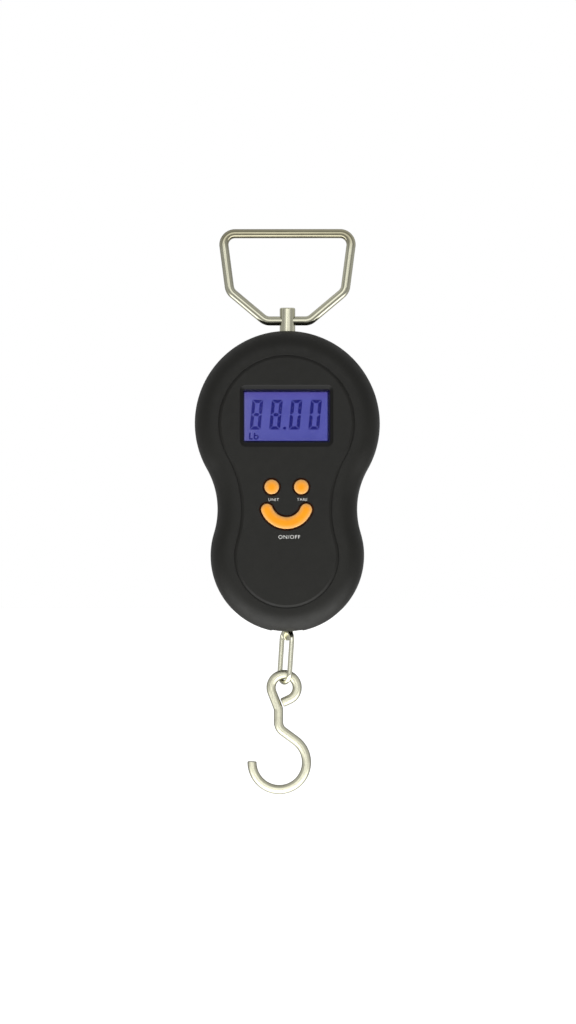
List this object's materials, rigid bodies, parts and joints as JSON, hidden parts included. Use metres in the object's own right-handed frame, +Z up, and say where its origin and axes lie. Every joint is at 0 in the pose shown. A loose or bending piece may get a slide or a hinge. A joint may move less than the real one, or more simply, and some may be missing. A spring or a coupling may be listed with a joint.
{
  "type": "digital hanging scale",
  "caption": "Hand-held digital hanging scale: waisted plastic case with a lit display and press keys between a folding wire handle and a steel hook on a link.",
  "frame": {"origin": "middle of the handle's top bar, on the wire's centre line, which is what a hand or a peg holds", "axes": "+Z up along the line of the load, display facing -Y, +X to the right as the display is read"},
  "size_m": [0.0702, 0.0302, 0.2153],
  "materials": {
    "polished_steel": "bright nickel plate over steel wire, lightly drawn",
    "plain_steel": "plain zinc finish",
    "case_plastic": "fine-textured charcoal ABS",
    "key_plastic": "satin orange",
    "cell_aluminium": "milled",
    "gauge_foil": "foil on film",
    "circuit_board": "green solder mask",
    "black_plastic": "moulded black",
    "red_plastic": "insulation",
    "clear_lens": "clear acrylic pane",
    "display_blue": "blue backlit liquid crystal",
    "diffuser": "milky blue light guide",
    "grey_rubber": "conductive elastomer and grey insulation",
    "battery_can": "plain dark label on a bright can",
    "contact_brass": "plated spring strip"
  },
  "bodies": {
    "handle": {"handle_bail": "polished_steel"},
    "case": {"handle_post": "polished_steel", "front_case": "case_plastic", "rear_case": "case_plastic", "display_lens": "clear_lens", "post_washer": "plain_steel", "post_nut": "plain_steel", "case_screw_1": "plain_steel", "case_screw_2": "plain_steel", "case_screw_3": "plain_steel", "case_screw_4": "plain_steel", "load_cell": "cell_aluminium", "strain_gauge_lower_left": "gauge_foil", "strain_gauge_upper_left": "gauge_foil", "strain_gauge_lower_right": "gauge_foil", "strain_gauge_upper_right": "gauge_foil", "cell_screw_1": "plain_steel", "cell_screw_2": "plain_steel", "lcd_glass": "display_blue", "lcd_backlight": "diffuser", "zebra_strip": "grey_rubber", "main_pcb": "circuit_board", "controller_chip": "black_plastic", "timing_crystal": "plain_steel", "filter_capacitor": "black_plastic", "pcb_screw_1": "plain_steel", "pcb_screw_2": "plain_steel", "pcb_screw_3": "plain_steel", "pcb_screw_4": "plain_steel", "unit_switch": "black_plastic", "tare_switch": "black_plastic", "power_switch": "black_plastic", "battery_left": "battery_can", "battery_right": "battery_can", "contact_left_spring": "contact_brass", "contact_right_spring": "contact_brass", "contact_left_plate": "contact_brass", "contact_right_plate": "contact_brass", "gauge_lead": "grey_rubber", "battery_lead_black": "black_plastic", "battery_lead_red": "red_plastic"},
    "unit_key": {"unit_button": "key_plastic", "unit_switch_stem": "black_plastic"},
    "tare_key": {"tare_button": "key_plastic", "tare_switch_stem": "black_plastic"},
    "power_key": {"power_button": "key_plastic", "power_switch_stem": "black_plastic"},
    "door": {"battery_door": "case_plastic"},
    "stud": {"hook_stud": "polished_steel", "stud_washer": "plain_steel", "stud_nut": "plain_steel"},
    "link": {"hook_link": "polished_steel"},
    "hook": {"hook": "polished_steel"}
  },
  "joints": [
    {"name": "handle_swing", "type": "hinge", "parent": "handle", "child": "case", "pos_m": [0, 0, -0.03325], "axis": [1, 0, 0], "range_deg": [-125, 125]},
    {"name": "unit_press", "type": "slide", "parent": "case", "child": "unit_key", "axis": [0, 1, 0], "range_m": [0, 0.0006], "stiffness_N_per_m": 300},
    {"name": "tare_press", "type": "slide", "parent": "case", "child": "tare_key", "axis": [0, 1, 0], "range_m": [0, 0.0006], "stiffness_N_per_m": 300},
    {"name": "power_press", "type": "slide", "parent": "case", "child": "power_key", "axis": [0, 1, 0], "range_m": [0, 0.0006], "stiffness_N_per_m": 300},
    {"name": "door_tilt", "type": "hinge", "parent": "case", "child": "door", "pos_m": [0, 0.015, -0.0902], "axis": [1, 0, 0], "range_deg": [0, 80]},
    {"name": "stud_swivel", "type": "hinge", "parent": "case", "child": "stud", "pos_m": [0, 0, -0.1517], "axis": [0, 0, 1], "continuous": true},
    {"name": "link_swing", "type": "hinge", "parent": "stud", "child": "link", "pos_m": [0, 0, -0.15115], "axis": [0.515, -0.8572, 0], "range_deg": [-70, 70]},
    {"name": "hook_swing", "type": "hinge", "parent": "link", "child": "hook", "pos_m": [-0.00128, 0, -0.17283], "axis": [0, 1, 0], "range_deg": [-90, 90]}
  ]
}
